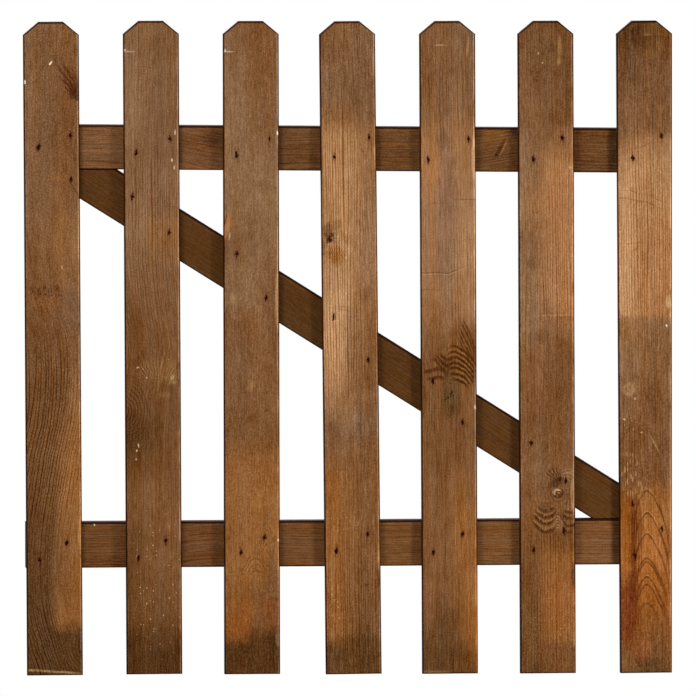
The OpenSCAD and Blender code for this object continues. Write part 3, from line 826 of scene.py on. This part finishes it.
# how far the lines of the eye fall from their crown
eye = {-28: -26, -20: -13, -14: -6, -8: -1, -3: 0.5, 2: 0, 8: -3, 11: -7, 15: -14}
pale6 = {
    "left": {0: "bark", 40: "umber", 90: "umber", 200: "walnut", 235: "chestnut", 290: "hazel",
        350: "walnut", 395: "chestnut", 440: "chestnut", 480: "fawn", 560: "fawn", 600: "hazel", 650: "tan",
        690: "fawn", 740: "hazel", 790: "chestnut", 840: "walnut", 906: "umber"},
    "right": {0: "umber", 14: "walnut", 36: "walnut", 58: "rust", 110: "#945a2b", 160: "#84501f",
        195: "umber", 240: "walnut", 440: "walnut", 480: "#875a34", 497: "#905f38", 501: "#9e6b41",
        700: "copper", 728: "clay", 750: "walnut", 840: "umber"},
    "middle": {0: -6, 190: -10, 240: 0, 480: 4, 498: -4, 560: -8, 640: -6, 700: -6, 760: 0, 906: -10},
    "ragged": 5,
    "strongRings": [(16, 545, 24, 60, 0.18), (20, 680, 22, 60, 0.12), (8, 110, 26, 80, 0.08),
        (-20, 500, 20, 60, 0.05)],
    "patches": [
        (0, 840, 40, 60, "#7a5c44", 0.22), (35, 249, 2.8, 22, 0.4, "#b08558", 0.8),
        (36, 138, 2.8, 18, 0.3, "#44260c", 0.8), (22, 750, 14, 10, "#9a6a42", 0.5),
        (3, 502, 12, 20, "#7c5030", 0.5), (-28, 3, 14, 4, "#50361c", 0.6),
        (19, 870, 2.6, 16, 0.4, "#a47a45", 0.7), (18, 850, 2.4, 5, 0.4, "#a47a45", 0.7),
        (-10, 861, 1, 1.2, 0.3, "#d8b184", 0.8), (-5, 848, 1, 1, 0.3, "#e0bc90", 0.8),
        (8, 868, 8, 8, "#573318", 0.5), (33, 703, 2.4, 1.6, 0.3, "#bfa078", 0.6),
        (-22, 573, 7, 10, "#6e4630", 0.3), (-4, 470, 12, 10, "#6c3f20", 0.45),
        (30, 460, 12, 9, "#704a26", 0.4), (8, 322, 4, 6, "#633a1b", 0.5), (10, 257, 30, 42, "#86603f", 0.3),
        (12, 265, 9, 6, 0.4, -24, "#44260f", 0.85), (19, 270.5, 3.8, 2.6, 0.4, -30, "#2c1408", 0.85),
        (14.4, 250.8, 7.6, 6.6, 0.2, "#2e1304", 0.95), (13.4, 251.7, 6, 4.9, 0.2, "#c8a680", 0.95),
        (15.6, 249.3, 5.2, 4.6, 0.2, "#64391a", 1), (13.2, 252.2, 1.5, 1.1, 0.25, "#331605", 0.9),
        (15.4, 251, 1.6, 0.9, 0.25, 30, "#d4b08a", 0.9), (29, 279, 6, 1, 0.4, -12, "#ac845c", 0.5),
        (-4, 216, 20, 22, "#885626", 0.5), (29, 212, 12, 16, "#7a4e24", 0.45),
        (29, 184, 10, 10, "#66401c", 0.35), (-24, 45, 12, 60, "#6b4a2c", 0.4),
    ],
    "figures": [
        (-2, 214, 18, 22, 0.25, "#3c1600", 1, {"lines": (197, 208.5, 217.5, 226, 230.5, 237), "line": 3,
            "wobble": 8, "rough": True, "shape": eye}),
        (-3, 218, 19, 24, 0.25, "#a87440", 0.35, {"lines": (202.5, 213, 221.7, 230.5, 239.5), "line": 1.7,
            "shape": eye}),
        (29, 211, 12, 18, 0.25, "#3c1600", 1, {"lines": (196, 206, 215.5, 224), "line": 2.8, "wobble": 8,
            "rough": True, "shape": {14: -18, 18: -11, 22: -4, 27: 0, 33: 0.5, 40: -1}}),
        (15, 212, 8, 14, 0.3, "#b98d60", 0.5, {"lines": (199, 203, 207, 211, 215, 219), "line": 1.2,
            "wobble": 4, "shape": {4: 14, 10: 4, 14: 0, 19: 6, 25: 16}}),
        (-4, 272, 30, 50, "#60401f", 0.35, {"rings": 5, "at": (12, 256), "line": 1.6, "wobble": 7,
            "stretch": 2, "first": 11}),
        (18, 244, 18, 12, 0.3, "#4c2810", 0.5, {"rings": 4.6, "at": (15, 251), "line": 1.4, "stretch": 1.3,
            "first": 10}),
        (29, 276, 10, 9, 0.3, "#b38a60", 0.5, {"rings": 4.2, "at": (28, 262), "line": 1.2, "stretch": 1.3,
            "first": 5}),
        (10, 277, 11, 9, 0.3, 20, "#3a1804", 1, {"rays": 26, "at": (18, 265)}),
        (14, 498, 28, 6, 0.3, "#c39062", 0.45, {"lines": (497.5,), "line": 1.4, "wobble": 4}),
    ],
    "specks": [
        (0, 800, 34, 70, "#563218", 0.6, {"share": 0.35, "size": 1.3}),
        (-2, 520, 30, 170, "#5f3a20", 0.55, {"share": 0.2}),
        (6, 75, 26, 60, "#caa06c", 0.6, {"share": 0.2}),
    ],
}
makePale(6, pale6)

# how far the arches of the foot fall from their crown
arch = {-19: 200, -17: 130, -15: 75, -13: 38, -9.4: 21, -6: 11, -1: 3, 3: 0, 8: 2.5, 13: 9, 17.5: 18, 22: 27,
    25: 34, 28.5: 46, 31.5: 57, 34: 72, 38: 98}
pale7 = {
    "left": {0: "walnut", 16: "chestnut", 50: "#763b10", 110: "#783a10", 150: "#9c5a22", 195: "#8c501a",
        235: "#8b531f", 265: "walnut", 335: "walnut", 372: "hazel", 430: "fawn", 488: "clay", 495: "tan",
        498: "straw", 690: "straw", 735: "tan", 752: "hazel", 790: "chestnut", 830: "umber", 880: "bark"},
    "right": {0: "bark", 24: "umber", 60: "#804c1f", 100: "sienna", 150: "#a2632c", 215: "#a06632",
        245: "rust", 275: "walnut", 350: "walnut", 420: "#7d532d", 488: "hazel", 495: "#8f6239",
        498: "#9e6b40", 600: "copper", 700: "honey", 742: "tan", 755: "chestnut", 830: "walnut",
        880: "umber"},
    "middle": {0: -12, 230: -10, 300: 0, 470: -6, 500: -12, 640: -10, 906: 0},
    "ragged": 5,
    "flow": {0: 4, 906: -4},
    "strongRings": [(0, 615, 38, 120, 0.18), (-22, 320, 14, 60, 0.08)],
    "patches": [
        (0, 820, 40, 50, "#7a5c44", 0.25), (-4, 655, 20, 50, "#98683c", 0.3),
        (0, 32, 12, 18, "#96562c", 0.4), (-5, 198, 4.5, 30, 0.4, "#70360c", 0.5),
        (35, 670, 3, 16, "#a8743f", 0.4), (-18.5, 100, 6.5, 44, 0.4, "#682908", 0.7),
        (-18, 108, 3, 14, "#641d0a", 0.5), (-24, 190, 8, 44, "#945616", 0.4),
        (34, 118, 6, 110, "#8d5226", 0.35), (34, 516, 4, 8, 0.4, "#c9a070", 0.65),
        (31, 483, 0.9, 1.8, 0.3, "#f3e6d0", 0.95), (-21, 395, 7.9, 10, 0.2, "#a07850", 0.7),
        (-13, 382, 1, 1.3, 0.3, "#e2c69e", 0.9), (-28, 353, 1.4, 1.2, 0.3, "#d8b88c", 0.8),
        (-4, 335, 1.6, 1, 0.3, "#c9a678", 0.7), (15, 318, 1.2, 16, 0.5, -28, "#b58a5c", 0.5),
        (4, 380, 10, 26, "#6f452a", 0.3), (-22, 372, 12, 14, "#734c2a", 0.4),
        (-5, 887, 14, 12, "#553419", 0.5), (4, 887, 5, 1.6, "#a0784c", 0.5), (10, 860, 8, 6, "#8f6538", 0.4),
        (22, 872, 4, 10, "#8a6238", 0.4), (2, 14, 12, 7, "#50331a", 0.5), (-30, 655, 12, 30, "straw", 0.3),
        (-30, 555, 10, 22, "#c0936a", 0.4),
    ],
    "figures": [
        (9, 168, 29, 98, 0.25, "#5a2604", 0.85, {"lines": (97, 122, 133, 154, 159.5, 193.5, 222.5, 253.5),
            "line": 2, "wobble": 5, "shape": arch}),
        (7, 196, 12, 70, 0.25, "#c8905a", 0.4, {"lines": (135.5, 195.5, 225, 256), "line": 1.4, "wobble": 5,
            "shape": {a: fall for a, fall in arch.items() if -15 <= a <= 25}}),
        (-12, 186, 9, 60, 0.4, "#521c02", 0.75, {"rings": 3.3, "at": (-90, 190), "line": 1.1, "wobble": 3,
            "stretch": 40}),
        (4, 733, 26, 16, 0.3, "#80552f", 0.6, {"lines": (735,), "line": 1.5, "wobble": 8,
            "shape": {-30: 10, -12: 6, 0: 2, 10: -3, 24: -3, 40: 4}}),
        (-8, 654, 34, 20, 0.3, "#8a5c33", 0.65, {"lines": (657, 668), "line": 1.5, "wobble": 9,
            "shape": {-44: -6, -10: -1, 10: 5, 24: 12}}),
        (26, 700, 12, 8, "#8a5c33", 0.6, {"lines": (700,), "line": 1.4, "wobble": 9}),
        (-6, 597, 30, 8, "#93623a", 0.5, {"lines": (597,), "line": 1.4, "wobble": 9}),
    ],
    "specks": [
        (-18, 276, 20, 32, 0.5, -14, "#bf9160", 0.7, {"share": 0.9, "size": 1.1, "cell": 2.8, "long": 4.25}),
        (-20, 344, 16, 16, "#b88f62", 0.6, {"share": 0.6, "size": 1.1, "cell": 3.2, "long": 2}),
        (-21, 394, 8, 10, 0.25, "#c09668", 0.8, {"share": 0.9, "size": 1.3, "cell": 3, "long": 3.75}),
        (0, 620, 36, 120, "#8a5a34", 0.6, {"share": 0.14}),
        (0, 800, 34, 80, "#96693f", 0.5, {"share": 0.2, "size": 1.3}),
        (-28, 180, 12, 90, "#4f2309", 0.6, {"share": 0.3, "size": 1.1}),
    ],
}
makePale(7, pale7)

# the rails and the brace are sawn, not planed: across runs up their face, along from the gate's left
beamBase = {
    **paleBase, "slot": "rail_wood", "rings": {"pith": (-90, 45), "spacing": 3.4, "strength": 0.07},
    # on the rails and brace: a faint painted highlight, and painted shade on the sides and along the rim
    "grain": 0.8, "edgeHighlight": (0.0, 0.03), "sideShade": 0.3, "endShade": 0.12, "blend": 24.0, "upperRim": 0.55,
}

topRail = {
    "seed": 31,
    "material": "sawnStainedPineTopRail",
    "left": {150: "#78502f", 240: "#744a28", 330: "#6a4423", 892: "#68411f"},
    "right": {150: "#7f5634", 240: "#744a28", 330: "#6d4625", 892: "#6a4320"},
    "flow": {0: 0, 200: 2, 280: -12, 340: -12, 620: -8, 690: 2, 892: 0},
    "patches": [
        # the first patch is a painted shadow: the dark band that pale 7 casts on the rail beside its left
        # edge
        (0, 814, 44, 7, 0.4, "#3a210d", 0.6), (14, 262, 8, 16, "#4c2a12", 0.5),
        (3, 659, 2.6, 15, 0.4, 64, "#3c1c08", 0.7), (2, 663, 0.9, 12, 0.4, 64, "#a46c30", 0.6),
        (-7, 653, 2, 2, 0.25, "#241006", 0.8), (20, 648, 9, 18, "#8a581f", 0.55),
        (24, 678, 5, 5, "#2c160a", 0.6),
    ],
}
buildBoard("top_rail", {**beamBase, **topRail}, [])

bottomRail = {
    "seed": 32,
    "material": "sawnStainedPineBottomRail",
    "left": {0: "#724824", 280: "#724825", 420: "#734925", 620: "#774d27", 892: "#784e2c"},
    "right": {280: "#744a26", 420: "#734925", 620: "#774d27", 892: "#784e2c"},
    "flow": {0: 0, 180: 0, 260: 8, 340: 2, 892: 0},
    "patches": [
        # the first patch is a painted shadow: the dark band that pale 7 casts on the rail beside its left
        # edge
        (0, 822, 44, 7, 0.4, "#3a210d", 0.6), (28, 95, 1.4, 1, 0.3, "#f0dcb8", 0.95),
    ],
}
buildBoard("bottom_rail", {**beamBase, **bottomRail}, [])

brace = {
    "seed": 33,
    "slot": "brace_wood",
    "material": "sawnStainedPineBrace",
    "rings": {"pith": (-90, 45), "spacing": 3.8, "strength": 0.03},
    "grain": 0.45,
    "left": {900: "#593716"},
    "right": {900: "#593716"},
}
buildBoard("brace", {**beamBase, **brace}, [])


nail = {"steel": "#34130c", "rust": "#220a05", "roughness": 0.6, "rustGrain": 0.9}


def nailMaterial():
    # bright drawn steel gone dull and brown from the treated wood: dark, with a small soft shine
    mat, tree = newMaterial("drawnSteelDulled")
    place = addNode(tree, "TexCoord", out="Object")
    cells = 1 / (nail["rustGrain"] * mm)
    grit = addNode(tree, "TexNoise", {"Vector": place, "Scale": cells, "Detail": 2.0}, "Fac")
    colour = addNode(tree, "Mix RGBA", {0: grit, 6: srgb(nail["steel"]), 7: srgb(nail["rust"])}, 2)
    skin = addNode(tree, "BsdfPrincipled", {"Base Color": colour, "Metallic": 1.0,
                                            "Roughness": nail["roughness"]})
    addNode(tree, "OutputMaterial", {"Surface": skin})
    return mat


steel = nailMaterial()
for name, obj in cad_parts.items():
    if "nails" in name:
        obj.data.materials.clear()
        obj.data.materials.append(steel)
print("nails finished")


studio = {
    "floorBelow": 0.25, "floorWide": 30,  # metres from the pales' feet down to the floor, and to its edge
    "floorTone": "#f2f1ef", "white": "#ffffff", "ambient": 0.075,
    "shadowRound": (1.1, 2.0), "whitened": (0.72, 1.0),  # metres out over which the floor goes white
    "lamps": {  # degrees round from the front and up, metres away, metres wide, share of the light on a pale
        "keyLamp": (-23, 35, 2.9, 0.75, 0.37),
        "sideLamp": (40, -11, 2.1, 0.38, 0.30),
        "backLamp": (180, 38, 3.5, 1.6, 0.60),
    },
    "view": (-3.4, 3.0), "cameraAway": 25.0,  # degrees round and up, metres away
    "seenAcross": 0.9647,  # metres across the picture at the pales' faces
    "aim": (-0.3849, 0.2714),  # the middle of the picture, in X and Z
}
gateMiddle = [(low + high) / 2 for low, high in zip(*cadBox)]


def standAt(obj, aim, turn, rise, away):
    # some degrees round from the front and up, facing its aim
    turn, rise = math.radians(turn), math.radians(rise)
    side = (math.sin(turn) * math.cos(rise), -math.cos(turn) * math.cos(rise), math.sin(rise))
    obj.location = [m + away * c for m, c in zip(aim, side)]
    obj.rotation_euler = (math.pi / 2 - rise, 0, turn)
    return abs(side[1])  # how squarely it faces the pales


def stageWorld():
    world = bpy.data.worlds.new("studioWhite")
    bpy.context.scene.world = world
    world.use_nodes = True
    tree = world.node_tree
    tree.nodes.clear()
    rays = addNode(tree, "LightPath").node.outputs
    seen = addNode(tree, "Math MAXIMUM", [rays["Is Camera Ray"], rays["Is Glossy Ray"]])
    seen = addNode(tree, "Math MAXIMUM", [seen, rays["Is Transmission Ray"]])
    level = addNode(tree, "MapRange", {0: seen, 3: studio["ambient"], 4: 1.0})
    back = addNode(tree, "Background", {"Color": srgb(studio["white"]), "Strength": level})
    addNode(tree, "OutputWorld", {"Surface": back})


def stageFloor():
    bm = bmesh.new()
    bmesh.ops.create_circle(bm, cap_ends=True, segments=96, radius=studio["floorWide"])
    mesh = bpy.data.meshes.new("floor")
    bm.to_mesh(mesh)
    bm.free()
    floor = addObject("floor", mesh)
    floor.location = (gateMiddle[0], gateMiddle[1], cadBox[0][2] - studio["floorBelow"])
    mat, tree = newMaterial("paintedPaleFloor")  # matt and even, so that only the shadow shows on it
    paint = addNode(tree, "BsdfPrincipled", {"Base Color": srgb(studio["floorTone"]), "Roughness": 1.0,
                                             "Specular IOR Level": 0.0})
    camera = addNode(tree, "LightPath", out="Is Camera Ray")
    place = addNode(tree, "TexCoord", out="Object")
    away = addNode(tree, "VectorMath LENGTH", [place], "Value")
    whiten = addNode(tree, "MapRange SMOOTHSTEP", [away, *studio["shadowRound"], *studio["whitened"]])
    amount = addNode(tree, "Math MULTIPLY", [whiten, camera])
    glow = addNode(tree, "Emission", {"Color": srgb(studio["white"]), "Strength": 1.0})
    surface = addNode(tree, "MixShader", [amount, paint, glow])
    addNode(tree, "OutputMaterial", {"Surface": surface})
    mesh.materials.append(mat)


def stageLamps():
    for name, (turn, rise, away, width, share) in studio["lamps"].items():
        lamp = bpy.data.lights.new(name, "AREA")
        obj = addObject(name, lamp)
        obj.visible_camera = False
        squarely = standAt(obj, gateMiddle, turn, rise, away)
        lamp.size = width
        # a lamp of (pi * metres away) squared watts lights a white face fully
        lamp.energy = share * (math.pi * away) ** 2 / squarely


def stageCamera():
    lens = bpy.data.cameras.new("camera")
    lens.sensor_width = 36
    lens.lens = lens.sensor_width * studio["cameraAway"] / studio["seenAcross"]
    camera = addObject("camera", lens)
    aim = (studio["aim"][0], cadBox[0][1], studio["aim"][1])
    standAt(camera, aim, *studio["view"], studio["cameraAway"])
    bpy.context.scene.camera = camera


stageWorld()
stageFloor()
stageLamps()
stageCamera()
bpy.context.scene.view_settings.view_transform = "Standard"
print("stage set")
